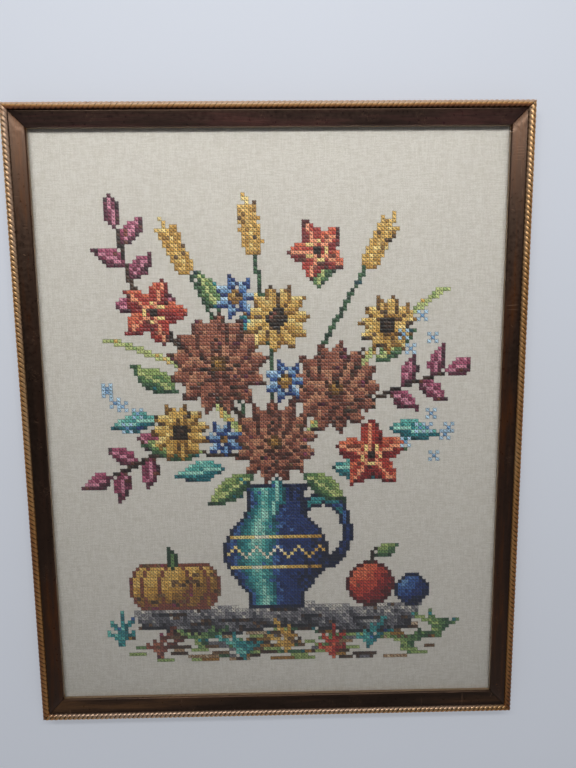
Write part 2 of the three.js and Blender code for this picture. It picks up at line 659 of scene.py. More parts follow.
@dataclass(frozen=True)
class PictureGlass:
    """Clear float glass, 2 mm thick, which adds only a faint gloss over the linen."""

    tint: str = "#FDFEFD"
    ior: float = 1.5

    def material(self) -> bpy.types.Material:
        """Builds the finish. Light falls through it without the noise of a caustic.

        Returns:
            The finish.
        """
        material, shader = new_material("float_glass_clear")
        look = {
            "Base Color": linear(self.tint),
            "Roughness": 0.0,
            "IOR": self.ior,
            "Transmission Weight": 1.0,
        }
        fill(material, shader, look)
        clear = add_node(material, "BsdfTransparent", {"Color": linear(self.tint)}).outputs["BSDF"]
        shadow = add_node(material, "LightPath").outputs["Is Shadow Ray"]
        both = {0: shadow, 1: shader.outputs["BSDF"], 2: clear}
        pane = add_node(material, "MixShader", both).outputs["Shader"]
        fill(material, material.node_tree.nodes["Material Output"], {"Surface": pane})
        return material


@dataclass(frozen=True)
class PulpBoard:
    """Grey-brown board pressed from wood pulp, matt, with flecks and a felt-like face."""

    board: str = "#9A8468"
    fleck: str = "#7D6850"
    fleck_size: float = 2.5

    def material(self) -> bpy.types.Material:
        """Builds the finish in the part's own frame.

        Returns:
            The finish.
        """
        material, shader = new_material("pulp_board_pressed")
        place = add_node(material, "TexCoord").outputs["Object"]
        felt = {"Vector": place, "Scale": 1 / (self.fleck_size * MM), "Detail": 5.0, "Roughness": 0.7}
        pulp = add_node(material, "TexNoise", felt).outputs["Fac"]
        stops = ((0.38, self.fleck), (0.6, self.board))
        relief = add_node(material, "Bump", {"Height": pulp, "Strength": 0.4, "Distance": 0.3 * MM})
        look = {
            "Base Color": add_node(material, "ValToRGB", {"Fac": pulp}, stops).outputs["Color"],
            "Roughness": 0.9,
            "Normal": relief.outputs["Normal"],
        }
        fill(material, shader, look)
        return material


@dataclass(frozen=True)
class PaleFloor:
    """Plain painted studio floor, pale and matt."""

    paint: str = "#E3E8F1"
    mottle: str = "#DDE2EB"
    # What the eye sees of the floor is lifted by this much, with its shadows left in it.
    lift: float = 0.33

    def material(self) -> bpy.types.Material:
        """Builds the finish with a barely visible mottle.

        Returns:
            The finish.
        """
        material, shader = new_material("floor_paint_matt")
        place = add_node(material, "TexCoord").outputs["Object"]
        cloud = add_node(material, "TexNoise", {"Vector": place, "Scale": 4.0, "Detail": 2.0})
        tones = {0: cloud.outputs["Fac"], 6: linear(self.mottle), 7: linear(self.paint)}
        rays = add_node(material, "LightPath").outputs
        seen = rays["Is Camera Ray"]
        for kind in ("Is Glossy Ray", "Is Transmission Ray"):
            seen = add_node(material, "Math", {0: seen, 1: rays[kind]}, operation="MAXIMUM").outputs[0]
        glow = add_node(material, "Math", {0: seen, 1: self.lift}, operation="MULTIPLY")
        look = {
            "Base Color": add_node(material, "Mix", tones, data_type="RGBA").outputs[2],
            "Roughness": 0.8,
            "Emission Color": linear(self.paint),
            "Emission Strength": glow.outputs[0],
        }
        fill(material, shader, look)
        return material


# ---------------------------------------------------------------- the stitched design

SHADES = 5
EMPTY = -1
# East and north on the chart, in stitches.
Place = tuple[float, float]


class Floss(Enum):
    """Families of stranded cotton in the design, each with five shades from dark to light."""

    RUST = ("#3E1E17", "#5E3023", "#7A3F2E", "#955640", "#B8805F")
    GOLD = ("#5E3D17", "#8F6426", "#B58738", "#D0A655", "#E3CB86")
    GREEN = ("#1C3524", "#34573A", "#5A7D4A", "#8C9F5C", "#B9BF7C")
    TEAL = ("#0C3B42", "#14606A", "#2B8487", "#5FAEA3", "#9CCBBB")
    BLUE = ("#12182F", "#1B2F66", "#2E5593", "#6D96BD", "#AAC3D6")
    PLUM = ("#32131F", "#561C31", "#7C2F49", "#A34B68", "#C88396")
    CRIMSON = ("#4A1013", "#7D1B1E", "#AB3629", "#CE6140", "#E59A73")
    STONE = ("#1F1F25", "#3F3E45", "#66636A", "#928D8D", "#C2BBB1")
    EARTH = ("#1E130D", "#3E2A1C", "#66492F", "#957452", "#EBE0C9")

    def tones(self, *steps: int) -> tuple[int, ...]:
        """Thread numbers of these steps of the family, 0 dark to 4 light, or of all five."""
        base = SHADES * list(Floss).index(self)
        return tuple(base + step for step in steps or range(SHADES))


@dataclass
class Chart:
    """Squared chart of the design: one thread number for each stitch, or EMPTY.

    Motifs are worked from the back of the design to the front, each over the last. Places and
    sizes are in stitches, with X from the chart's middle and Y from its foot.
    """

    columns: int = 108
    rows: int = 136
    seed: int = 7
    # Points along the line of a stem, and how many of them each bend is eased over.
    line_points: int = 400
    easing: int = 30
    # How much a blade lightens towards the light and towards its tip, and its outline's tone.
    side_light: float = 0.3
    tip_light: float = 0.22
    outline_tone: float = 0.22
    # Half the width that even the point of a blade has.
    least_half: float = 0.45
    cells: np.ndarray = field(init=False)
    x: np.ndarray = field(init=False)
    y: np.ndarray = field(init=False)
    grain: np.ndarray = field(init=False)

    def __post_init__(self) -> None:
        """Starts with an empty chart and a fixed grain that mixes neighbouring shades."""
        self.cells = np.full((self.rows, self.columns), EMPTY)
        middle = (self.columns - 1) / 2
        self.x, self.y = np.meshgrid(np.arange(self.columns) - middle, np.arange(self.rows) + 0.5)
        self.grain = np.random.default_rng(self.seed).random(self.cells.shape) - 0.5

    def lay(
        self,
        inside: np.ndarray,
        ramp: Sequence[int],
        tone: np.ndarray | float = 0.5,
        scatter: float = 0.12,
    ) -> None:
        """Works stitches over part of the chart.

        Args:
            inside: which cells are worked.
            ramp: thread numbers from dark to light.
            tone: how light each cell is, from 0 to 1.
            scatter: how far neighbouring shades mix.
        """
        tone = np.clip(tone + scatter * self.grain, 0, 0.999)
        pick = (tone * len(ramp)).astype(int)
        self.cells = np.where(inside, np.array(ramp)[pick], self.cells)

    @staticmethod
    def rim(inside: np.ndarray) -> np.ndarray:
        """Finds the outermost cells of a shape.

        Args:
            inside: which cells are in it.

        Returns:
            Those that have a neighbour outside it.
        """
        wide = np.pad(inside, 1)
        core = wide[1:-1, :-2] & wide[1:-1, 2:] & wide[:-2, 1:-1] & wide[2:, 1:-1]
        return inside & ~core

    def blade(
        self,
        root: Place,
        angle: float,
        length: float,
        width: float,
        ramp: Sequence[int],
        fullness: float = 0.9,
        tone: float = 0.5,
        outlined: bool = True,
        rib: int | None = None,
    ) -> None:
        """Works a leaf or petal, lit from above on its left.

        Args:
            root: where it grows from.
            angle: which way it points, in degrees from +X.
            length: its length.
            width: its greatest width.
            ramp: thread numbers from dark to light.
            fullness: above 1 moves the widest place towards the tip.
            tone: how light it is at its middle.
            outlined: whether it has a dark outline.
            rib: thread number of a middle rib.
        """
        turn = math.radians(angle)
        east, north = self.x - root[0], self.y - root[1]
        along = (east * math.cos(turn) + north * math.sin(turn)) / length
        aside = north * math.cos(turn) - east * math.sin(turn)
        swell = np.sin(np.pi * np.clip(along, 0, 1) ** fullness)
        half = np.maximum(width / 2 * swell, self.least_half)
        inside = (along > 0) & (along < 1) & (np.abs(aside) <= half)
        lit = math.sin(math.radians(100 - angle))
        light = tone + self.side_light * lit * aside / half + self.tip_light * (along - 0.5)
        edge = self.rim(inside)
        if outlined:
            shaded = edge & ((lit * aside < 0.2) | (along > 0.9))
            light = np.where(shaded, self.outline_tone, np.clip(light, 0.3, 1))
        self.lay(inside, ramp, light)
        if rib is not None:
            self.lay(inside & ~edge & (np.abs(aside) < 0.5) & (along < 0.85), (rib,))

    def disc(
        self,
        centre: Place,
        radii: tuple[float, float],
        ramp: Sequence[int],
        tone: float = 0.5,
    ) -> None:
        """Works a round or oval form, lit from above on its left.

        Args:
            centre: its middle.
            radii: its half width and half height.
            ramp: thread numbers from dark to light.
            tone: how light it is at its middle.
        """
        east, north = (self.x - centre[0]) / radii[0], (self.y - centre[1]) / radii[1]
        reach = np.hypot(east, north)
        inside = reach <= 1
        light = np.clip(tone + 0.42 * (0.8 * north - 0.6 * east) - 0.12 * reach**2, 0.2, 1)
        self.lay(inside, ramp, np.where(self.rim(inside), 0.05, light))

    def mingle(self, share: float = 0.22) -> None:
        """Changes some stitches to a kindred thread of the same depth, in runs of two or three.

        Args:
            share: how many of the stitches of a family are changed.
        """
        kindred = {
            Floss.RUST: (Floss.EARTH, Floss.PLUM, Floss.EARTH),
            Floss.GOLD: (Floss.EARTH,),
            Floss.GREEN: (Floss.TEAL, Floss.GREEN),
            Floss.TEAL: (Floss.BLUE, Floss.TEAL),
            Floss.PLUM: (Floss.RUST, Floss.PLUM),
            Floss.CRIMSON: (Floss.RUST, Floss.CRIMSON),
            Floss.STONE: (Floss.EARTH, Floss.STONE),
        }
        dice = np.random.default_rng(self.seed + 1)
        runs = dice.random((self.rows, self.columns // 2 + 1)).repeat(2, 1)[:, : self.columns]
        # A little chance of each stitch's own frays the ends of the runs.
        fray = 0.3
        runs = (runs + fray * dice.random(self.cells.shape)) / (1 + fray)
        other = dice.random((self.rows, self.columns // 3 + 1)).repeat(3, 1)[:, : self.columns]
        worked = self.cells.copy()
        for floss, friends in kindred.items():
            own = (worked // SHADES == list(Floss).index(floss)) & (runs < share)
            own &= worked % SHADES < SHADES - 2
            for order, friend in enumerate(friends):
                chosen = own & (np.floor(other * len(friends)) == order)
                self.cells[chosen] = worked[chosen] % SHADES + friend.tones(0)[0]

    def stem(
        self,
        route: Sequence[Place],
        ramp: Sequence[int],
        width: int = 1,
        tone: float = 0.4,
    ) -> None:
        """Works a stem along a smooth line.

        Args:
            route: points that the line is drawn towards.
            ramp: thread numbers from dark to light.
            width: its width in stitches.
            tone: how light it is.
        """
        steps = np.linspace(0, len(route) - 1, self.line_points)
        kernel = np.hanning(2 * self.easing + 1)
        kernel = kernel / kernel.sum()
        line = []
        for values in zip(*route):
            straight = np.interp(steps, range(len(route)), values)
            padded = np.pad(straight, self.easing, mode="reflect", reflect_type="odd")
            line.append(np.convolve(padded, kernel, "valid"))
        column = np.round(line[0] + (self.columns - 1) / 2).astype(int)
        row = np.floor(line[1]).astype(int)
        inside = np.zeros(self.cells.shape, bool)
        for step in range(width):
            kept = (row >= 0) & (row < self.rows) & (column + step >= 0)
            kept &= column + step < self.columns
            inside[row[kept], column[kept] + step] = True
        self.lay(inside, ramp, tone, 0.5)


@dataclass
class StillLife:
    """Autumn flowers in a glazed jug on a stone slab, with a gourd and fruit beside it.

    It is a general still life of the kind found in any pattern book, in rust, gold, plum,
    crimson, teal and blue.
    """

    chart: Chart = field(default_factory=Chart)
    slab_top: float = 18.0
    jug_height: float = 37.0
    jug_half_width: float = 15.0
    ground_seed: int = 3
    dashes: int = 170

    def worked(self) -> Chart:
        """Works every motif from back to front.

        Returns:
            The chart.
        """
        self.ground()
        self.slab()
        self.tufts()
        self.far_stems()
        self.leaves()
        self.jug()
        self.collar()
        self.flowers()
        self.fruit()
        self.chart.mingle()
        return self.chart

    def ground(self) -> None:
        """Scattered dashes of earth, grass and fallen leaf under the slab."""
        dice = np.random.default_rng(self.ground_seed)
        threads = [
            *Floss.GREEN.tones(1, 2, 3, 3),
            *Floss.EARTH.tones(1, 2, 3, 3),
            *Floss.STONE.tones(2),
            *Floss.GOLD.tones(1),
        ]
        for _ in range(self.dashes):
            middle = dice.normal(0, 25)
            row = dice.integers(1, 13)
            long = dice.integers(2, 7)
            thread = threads[dice.integers(0, len(threads))]
            if abs(middle) < 50 - 0.6 * row:
                near = np.abs(self.chart.x - round(middle) - 0.5) <= long / 2
                self.chart.lay(near & (np.floor(self.chart.y) == row), (thread,))

    def slab(self) -> None:
        """Weathered stone with a lit top edge, a dark foot and cracks."""
        x, y = self.chart.x, self.chart.y
        top = self.slab_top + 0.6 * np.sin(x / 5)
        foot = self.slab_top - 8 + 1.3 * np.sin(x / 7 + 1)
        inside = (y < top) & (y > foot) & (np.abs(x) < 42 - 0.5 * (self.slab_top - y))
        light = 0.25 + 0.5 * (y - foot) / (top - foot) + 0.12 * np.sin(0.9 * x + 0.7 * y)
        self.chart.lay(inside, Floss.STONE.tones(), light, 0.35)
        cracks = ((-30, 3, 7), (-12, 5, 9), (10, 4, 6), (26, 5, 8), (-22, 6, 5), (2, 2, 7))
        for place, drop, long in cracks:
            crack = (np.abs(x - place) <= long / 2) & (np.floor(y) == self.slab_top - drop)
            self.chart.lay(crack & inside, (*Floss.STONE.tones(0), *Floss.EARTH.tones(1)))
        self.chart.lay(self.chart.rim(inside) & (y < self.slab_top - 5), Floss.STONE.tones(0))

    def tufts(self) -> None:
        """Tufts of grass and red leaf in front of the slab."""
        families = (Floss.TEAL, Floss.CRIMSON, Floss.GOLD, Floss.RUST, Floss.GREEN)
        sea, red, straw, rust, green = (floss.tones(1, 2, 3) for floss in families)
        tufts = (
            (-45, 7, sea),
            (-34, 3, rust),
            (-22, 5, green),
            (-10, 2, sea),
            (3, 4, straw),
            (16, 2, red),
            (27, 5, sea),
            (38, 3, green),
            (47, 8, green),
        )
        for order, (east, north, ramp) in enumerate(tufts):
            for blade, angle in enumerate((38, 62, 86, 112, 140)):
                long = (5, 8, 10, 7, 5)[(blade + order) % 5]
                lean = math.radians(angle)
                tip = (east + long * math.cos(lean), north + long * math.sin(lean))
                bend = (east + 0.25 * long * math.cos(lean), north + 0.55 * long * math.sin(lean))
                self.chart.stem(((east, north), bend, tip), ramp, tone=0.25 + 0.12 * blade)

    def far_stems(self) -> None:
        """Ears of corn, long grass and sprays of plum-red leaves behind the flowers."""
        ears = (
            ((-6, 62), (-12, 92), (-23, 114)),
            ((0, 62), (-1, 94), (-5, 119)),
            ((6, 62), (14, 94), (26, 115)),
        )
        for route in ears:
            self.ear(route)
        for route in (((-4, 62), (-26, 88), (-45, 95)), ((4, 62), (30, 96), (46, 108))):
            self.chart.stem(route, (*Floss.GREEN.tones(3, 4), *Floss.GOLD.tones(3)), 2, 0.5)
        self.spray(((-8, 72), (-25, 92), (-38, 110), (-41, 124)), (0.45, 0.55, 0.68, 0.78, 0.9))
        self.spray(((8, 68), (32, 80), (47, 85)), (0.5, 0.62, 0.76, 0.88))
        self.spray(((-8, 62), (-30, 64), (-45, 57)), (0.5, 0.62, 0.76, 0.88))

    def ear(self, route: Sequence[Place]) -> None:
        """Works an ear of corn on its stalk, with paired grains and a beard.

        Args:
            route: points of the stalk from its root to the foot of the ear.
        """
        self.chart.stem(route, Floss.GREEN.tones(0, 1, 2))
        (x0, y0), (x1, y1) = route[-2:]
        angle = math.atan2(y1 - y0, x1 - x0)
        for grain in range(6):
            rise = 2.1 * grain - 2
            place = (x1 + rise * math.cos(angle), y1 + rise * math.sin(angle))
            for side in (38, -38):
                lean = math.degrees(angle) + side
                self.chart.blade(place, lean, 4.2, 2.2, Floss.GOLD.tones(), tone=0.6, outlined=False)
        tip = (x1 + 14 * math.cos(angle), y1 + 14 * math.sin(angle))
        self.chart.stem(((x1, y1), tip), Floss.GOLD.tones(3, 4))

    def spray(self, route: Sequence[Place], places: Sequence[float]) -> None:
        """Works a twig of pointed plum-red leaves, with one at its tip.

        Args:
            route: points of the twig from its root to its tip.
            places: how far along the twig each leaf sits, sides in turn.
        """
        self.chart.stem(route, (*Floss.EARTH.tones(0, 1), *Floss.PLUM.tones(0)))
        spots = [(place, 52 if order % 2 else -52) for order, place in enumerate(places)]
        for place, side in [*spots, (1.0, 0)]:
            reach = place * (len(route) - 1)
            step = min(int(reach), len(route) - 2)
            (x0, y0), (x1, y1) = route[step : step + 2]
            share = reach - step
            spot = (x0 + share * (x1 - x0), y0 + share * (y1 - y0))
            angle = math.degrees(math.atan2(y1 - y0, x1 - x0)) + side
            self.chart.blade(spot, angle, 9.5, 4.8, Floss.PLUM.tones(), rib=Floss.PLUM.tones(4)[0])

    def leaves(self) -> None:
        """Green and blue-green leaves that frame the flowers."""
        leaves = (
            (-20, 63, 170, 17, Floss.GREEN),
            (20, 61, 10, 17, Floss.GREEN),
            (-26, 80, 150, 15, Floss.GREEN),
            (28, 88, 40, 14, Floss.GREEN),
            (-14, 102, 120, 13, Floss.GREEN),
            (12, 108, 70, 14, Floss.GREEN),
            (-32, 73, 190, 13, Floss.TEAL),
            (32, 70, -10, 14, Floss.TEAL),
            (-6, 92, 95, 12, Floss.TEAL),
        )
        for east, north, angle, long, floss in leaves:
            self.leaf((east, north), angle, long, floss)

    def leaf(self, root: Place, angle: float, long: float, floss: Floss) -> None:
        """Works one broad leaf with a pale rib."""
        self.chart.blade(root, angle, long, 0.42 * long, floss.tones(), rib=floss.tones(4)[0])

    def jug(self) -> None:
        """Glazed jug, blue turning to blue-green in the light, with a zigzag band in cream."""
        chart = self.chart
        base = self.slab_top - 1
        up = (chart.y - base) / self.jug_height
        heights = (0, 0.05, 0.1, 0.2, 0.38, 0.5, 0.62, 0.74, 0.84, 0.92, 1)
        widths = (0.5, 0.56, 0.5, 0.72, 0.98, 1, 0.88, 0.62, 0.5, 0.54, 0.66)
        across = chart.x / (self.jug_half_width * np.interp(up, heights, widths))
        body = (up >= 0) & (up <= 1) & (np.abs(across) <= 1)
        glaze = (*Floss.BLUE.tones(0, 1, 1, 2), *Floss.TEAL.tones(1, 2, 2, 3, 4))
        outline = Floss.BLUE.tones(0)
        east = (chart.x - 0.88 * self.jug_half_width) / 8.5
        north = (chart.y - base - 0.62 * self.jug_height) / 11.5
        ring = np.hypot(east, north)
        handle = (ring <= 1) & (ring >= 0.66) & (chart.x > 0.5 * self.jug_half_width)
        chart.lay(handle, glaze, 0.35 + 0.3 * north - 0.15 * east)
        chart.lay(chart.rim(handle), outline)
        shine = np.exp(-(((across + 0.38) / 0.3) ** 2))
        light = 0.3 + 0.62 * shine - 0.22 * np.clip(across, 0, 1) + 0.06 * np.cos(9 * up)
        chart.lay(body, glaze, light, 0.16)
        chart.lay(chart.rim(body), outline)
        row = np.floor(chart.y - base)
        fold = np.abs(np.floor(chart.x) % 6 - 3)
        band = body & (np.abs(across) < 0.93)
        cream = (*Floss.GOLD.tones(2, 3, 4), *Floss.EARTH.tones(4))
        for line in (12, 21):
            chart.lay(band & (row == line), cream, 0.85 - 0.6 * np.abs(across + 0.35))
        chart.lay(band & (row == 15 + fold), cream, 0.95 - 0.5 * np.abs(across + 0.35))

    def collar(self) -> None:
        """Leaves that hang over the jug's lip."""
        lip = self.slab_top + self.jug_height
        self.leaf((-6, lip + 2), 215, 16, Floss.GREEN)
        self.leaf((8, lip + 2), -35, 15, Floss.GREEN)
        self.leaf((1, lip + 1), 262, 13, Floss.TEAL)
        self.leaf((-14, lip + 4), 190, 14, Floss.TEAL)
        self.leaf((16, lip + 4), -12, 14, Floss.TEAL)

    def flowers(self) -> None:
        """Three great chrysanthemums with daisies, star flowers and small blue flowers."""
        for east, north, radius, turn in ((-15, 88, 14, 5), (17, 81, 13, 0), (0, 66, 12, 9)):
            self.chrysanthemum((east, north), radius, turn)
        eye = (*Floss.EARTH.tones(0, 1), *Floss.RUST.tones(2))
        for east, north, radius, turn in ((1, 100, 9.5, 4), (-26, 69, 8.5, 14), (31, 98, 8, 10)):
            self.daisy((east, north), radius, turn, 11, Floss.GOLD.tones(), eye)
        bud = Floss.GOLD.tones(1, 3)
        for east, north, radius, turn in ((-10, 106, 6, 0), (3, 83, 6, 0), (-14, 67, 5.5, 20)):
            self.daisy((east, north), radius, turn, 7, Floss.BLUE.tones(1, 2, 3, 4), bud)
        for east, north, radius, turn in ((27, 62, 10.5, 20), (-32, 102, 9.5, 0), (12, 118, 8.5, 40)):
            self.star_flower((east, north), radius, turn)
        for east, north, count in ((-42, 77, 7), (43, 67, 7), (41, 95, 5)):
            self.sprig((east, north), count)

    def chrysanthemum(self, centre: Place, radius: float, turn: float) -> None:
        """Works a rust-red flower of many petals, ring over ring.

        Args:
            centre: its middle.
            radius: its reach.
            turn: how far it is turned, in degrees.
        """
        rings = ((1.0, 13, 0.4), (0.76, 11, 0.44), (0.52, 8, 0.5), (0.3, 6, 0.5))
        for order, (share, count, width) in enumerate(rings):
            long = radius * share
            for petal in range(count):
                angle = turn + 360 * (petal + 0.5 * (order % 2)) / count
                wide = max(3.0, long * width)
                self.chart.blade(centre, angle, long, wide, Floss.RUST.tones(), 1.35, 0.58 + 0.06 * order)
        heart = max(1.6, 0.16 * radius)
        self.chart.disc(centre, (heart, heart), Floss.GOLD.tones(0, 1, 2, 3))

    def daisy(
        self,
        centre: Place,
        radius: float,
        turn: float,
        count: int,
        ramp: Sequence[int],
        eye: Sequence[int],
    ) -> None:
        """Works a flower with one ring of petals.

        Args:
            centre: its middle.
            radius: its reach.
            turn: angle of its first petal, in degrees.
            count: how many petals it has.
            ramp: thread numbers of its petals.
            eye: thread numbers of its eye.
        """
        for petal in range(count):
            angle = turn + 360 * petal / count
            self.chart.blade(centre, angle, radius, max(2.6, 0.42 * radius), ramp, 1.3, 0.62)
        self.chart.disc(centre, (0.27 * radius, 0.27 * radius), eye)

    def star_flower(self, centre: Place, radius: float, turn: float) -> None:
        """Works a crimson flower of five pointed petals with gold stamens.

        Args:
            centre: its middle.
            radius: its reach.
            turn: angle of its first petal, in degrees.
        """
        for petal in range(5):
            angle = turn + 72 * petal
            wide = max(3.0, 0.62 * radius)
            rib = Floss.CRIMSON.tones(4)[0]
            self.chart.blade(centre, angle, radius, wide, Floss.CRIMSON.tones(), 1.0, 0.45, rib=rib)
        self.chart.disc(centre, (1.3, 1.3), (*Floss.EARTH.tones(0), *Floss.GOLD.tones(2)))
        for petal in range(5):
            angle = math.radians(turn + 36 + 72 * petal)
            east, north = centre[0] + 2.4 * math.cos(angle), centre[1] + 2.4 * math.sin(angle)
            near = np.hypot(self.chart.x - east, self.chart.y - north) < 0.75
            self.chart.lay(near, Floss.GOLD.tones(4))

    def sprig(self, centre: Place, count: int) -> None:
        """Works a cloud of tiny pale-blue flowers, five stitches each.

        Args:
            centre: its middle.
            count: how many flowers it has.
        """
        dice = np.random.default_rng(count + int(abs(centre[0])))
        for _ in range(count):
            angle = dice.uniform(0, math.tau)
            reach = 7 * math.sqrt(dice.random())
            east = round(centre[0] + reach * math.cos(angle)) + 0.5
            north = round(centre[1] + reach * math.sin(angle)) + 0.5
            apart = np.abs(self.chart.x - east) + np.abs(self.chart.y - north)
            corner = (np.abs(self.chart.x - east) == 1) & (np.abs(self.chart.y - north) == 1)
            self.chart.lay(corner, Floss.BLUE.tones(4))
            self.chart.lay(apart == 0, Floss.BLUE.tones(3))

    def fruit(self) -> None:
        """A ribbed gourd at the left of the jug, an apple and a plum at its right."""
        gourd = (*Floss.RUST.tones(2), *Floss.GOLD.tones(1, 2, 3, 4))
        for offset, half in ((-8, 5), (8, 5), (-4.5, 5.4), (4.5, 5.4), (0, 4.8)):
            self.chart.disc((-29 + offset, self.slab_top + 6), (half, 7.2), gourd)
        self.chart.blade((-29, self.slab_top + 11), 100, 7, 3.4, Floss.GREEN.tones(0, 2, 3))
        apple = (*Floss.CRIMSON.tones(0, 1, 2, 3), *Floss.GOLD.tones(4))
        self.chart.disc((27, self.slab_top + 6), (6.8, 6.8), apple)
        self.chart.stem(((27, self.slab_top + 12), (28, self.slab_top + 16)), Floss.EARTH.tones(0, 1))
        self.chart.blade((28, self.slab_top + 14), 30, 8, 3.8, Floss.GREEN.tones())
        self.chart.disc((39, self.slab_top + 4), (4.8, 4.8), Floss.BLUE.tones(0, 1, 2, 3))


# ---------------------------------------------------------------- the parts of the picture


@dataclass
class Stitching:
    """Full cross stitches in six-strand cotton over the linen.

    Each stitch has an under leg and an over leg. A leg is a flattened hank with three rows of
    strands showing, fattest at its middle and drawn tight into the holes at its ends. A thin
    sheet under the legs stands for the lower threads between them, in a painted shadow tone.
    """

    chart: Chart
    pitch: float = 3.36
    # How far the design is above the middle of the linen.
    raised: float = -7.0
    leg_width: float = 1.9
    hank: float = 0.42
    under_crown: float = 0.42
    over_crown: float = 0.78
    root: float = 0.14
    painted_shadow_height: float = 0.08
    short: float = 0.13
    bow: float = 0.12
    taper: float = 0.1
    twist: float = 0.1
    # The higher this is, the longer the back of a leg stays at its full height.
    fullness: float = 2.4
    # How dark the painted shade on the sides of a leg is, where 1 is black.
    flank_shade: float = 0.85
    # How uneven hand work is: the holes, and a leg's width, height and shade, and how bright
    # each leg's painted glint is.
    holes_wander: float = 0.05
    widths: tuple[float, float] = (0.9, 1.08)
    heights: tuple[float, float] = (-0.06, 0.06)
    painted_glints: tuple[float, float] = (0.75, 1.15)
    tints: tuple[float, float] = (-0.35, 0.35)
    # Each leg takes its fibres from somewhere in this length.
    skein: float = 500.0
    # Round each leg's strip of its map, for a map 1024 across.
    map_margin: float = 1.2 / 1024
    seed: int = 11
    stations: tuple[float, ...] = (-1.0, -0.78, -0.3, 0.3, 0.78, 1.0)
    across: tuple[float, ...] = (-1.0, -0.64, -0.31, 0.0, 0.31, 0.64, 1.0)
    profile: tuple[float, ...] = (0.0, 0.78, 0.66, 1.0, 0.66, 0.78, 0.0)

    def build(self) -> list[bpy.types.Object]:
        """Makes one piece for each colour family.

        Returns:
            The pieces of stitching.
        """
        dice = np.random.default_rng(self.seed)
        holes = dice.normal(0, self.holes_wander, (self.chart.rows + 1, self.chart.columns + 1, 2))
        pieces = []
        for order, floss in enumerate(Floss):
            name = floss.name.lower()
            row, column = np.nonzero(self.chart.cells // SHADES == order)
            if not len(row):
                continue
            shade = self.chart.cells[row, column] % SHADES
            legs = 2 * len(row)
            points, lay, arch = self.legs(row, column, holes, dice)
            painted_shadow_bed, painted_shadow_quads = self.painted_shadow_bed(row, column, holes, points.size // 3)
            each = len(self.stations) * len(self.across)
            tint = (np.repeat(shade, 2) + dice.uniform(*self.tints, legs)) / (SHADES - 1)
            tints = (np.repeat(tint, each), np.repeat(shade / (SHADES - 1), 4))
            quads = grid_quads(len(self.stations), len(self.across), False, legs)
            piece = make_piece(
                f"stitches_{name}",
                np.concatenate([points.reshape(-1, 3), painted_shadow_bed]),
                np.concatenate([quads, painted_shadow_quads]),
                StrandedCotton(name, floss.value).material(),
                attributes={
                    "shade": np.concatenate(tints),
                    # The sheet under the legs has an arch of 0, which paints it in its darkest shadow
                    # tone.
                    "arch": np.concatenate([arch.ravel(), np.zeros(len(painted_shadow_bed))]),
                    "lay": np.concatenate([lay.reshape(-1, 3), painted_shadow_bed]),
                },
            )
            self.unwrap(piece, legs)
            log.info("%s: %d stitches", piece.name, len(row))
            pieces.append(piece)
        return pieces

    def legs(
        self, row: np.ndarray, column: np.ndarray, holes: np.ndarray, dice: np.random.Generator
    ) -> tuple[np.ndarray, np.ndarray, np.ndarray]:
        """Works out the points of both legs of every stitch.

        Args:
            row: chart row of each stitch.
            column: chart column of each stitch.
            holes: how far each hole in the linen is off its place.
            dice: source of the small unevenness of hand work.

        Returns:
            Points as stitch, leg, station, across, XYZ. The lay of the thread and how far it
            is lit, 0 in a hole and 1 along its back, in the same order.
        """
        top = box_mm("linen")[1][2]
        s = np.array(self.stations)[:, None]
        v = np.array(self.across)[None, :]
        rise = np.array(self.profile)[None, :]
        points, lays, painted_lights = [], [], []
        for leg, crown in enumerate((self.under_crown, self.over_crown)):
            # The ends stop short of the holes between rows, so the painted shadow under the legs shows
            # there as a dark line.
            start = self.hole(row, column + leg, holes) + (0, self.short)
            end = self.hole(row + 1, column + 1 - leg, holes) - (0, self.short)
            count = len(row)
            wide = self.leg_width * dice.uniform(*self.widths, count)[:, None, None]
            high = crown + dice.uniform(*self.heights, count)[:, None, None]
            bend = self.bow * dice.uniform(-1, 1, count)[:, None, None]
            span = (end - start)[:, None, None, :]
            middle = (start + end)[:, None, None, :] / 2
            long = np.hypot(span[..., 0], span[..., 1])[..., None]
            aside = np.stack([-span[..., 1], span[..., 0]], -1) / long
            twisted = v + self.twist * s * (1 - v**2)
            offset = bend * (1 - s**2) + twisted * wide / 2 * (1 - self.taper * s**2)
            flat = middle + span * s[..., None] / 2 + aside * offset[..., None]
            arch = 1 - np.abs(s) ** self.fullness
            crest = self.root + (high - self.root) * arch
            height = top + crest - self.hank * (1 - rise)
            points.append(np.concatenate([flat, height[..., None]], -1))
            skein = dice.uniform(0, self.skein, count)[:, None, None]
            along = s * self.pitch * math.sqrt(0.5) + skein
            lays.append(np.stack(np.broadcast_arrays(along, v * wide / 2 + skein, 0.0), -1))
            # Painted light and shade: the back of the hank is painted lit, its sides and ends painted
            # dark, and each leg gets a random painted glint.
            gloss = dice.uniform(*self.painted_glints, count)[:, None, None]
            lit = (1 - s**6) * (1 - self.flank_shade * v**2) * gloss
            painted_lights.append(np.broadcast_to(lit, offset.shape))
        return np.stack(points, 1), np.stack(lays, 1), np.stack(painted_lights, 1)

    def painted_shadow_bed(
        self, row: np.ndarray, column: np.ndarray, holes: np.ndarray, first: int
    ) -> tuple[np.ndarray, np.ndarray]:
        """Lays the lower threads that close the gaps between legs, as a sheet in painted shadow.

        Args:
            row: chart row of each stitch.
            column: chart column of each stitch.
            holes: how far each hole in the linen is off its place.
            first: number of the bed's first point in the piece.

        Returns:
            Four points for each stitch, and its face.
        """
        turns = ((0, 0), (0, 1), (1, 1), (1, 0))
        corners = np.stack([self.hole(row + up, column + over, holes) for up, over in turns], 1)
        height = np.full((*corners.shape[:2], 1), box_mm("linen")[1][2] + self.painted_shadow_height)
        points = np.concatenate([corners, height], -1).reshape(-1, 3)
        return points, first + np.arange(len(points)).reshape(-1, 4)

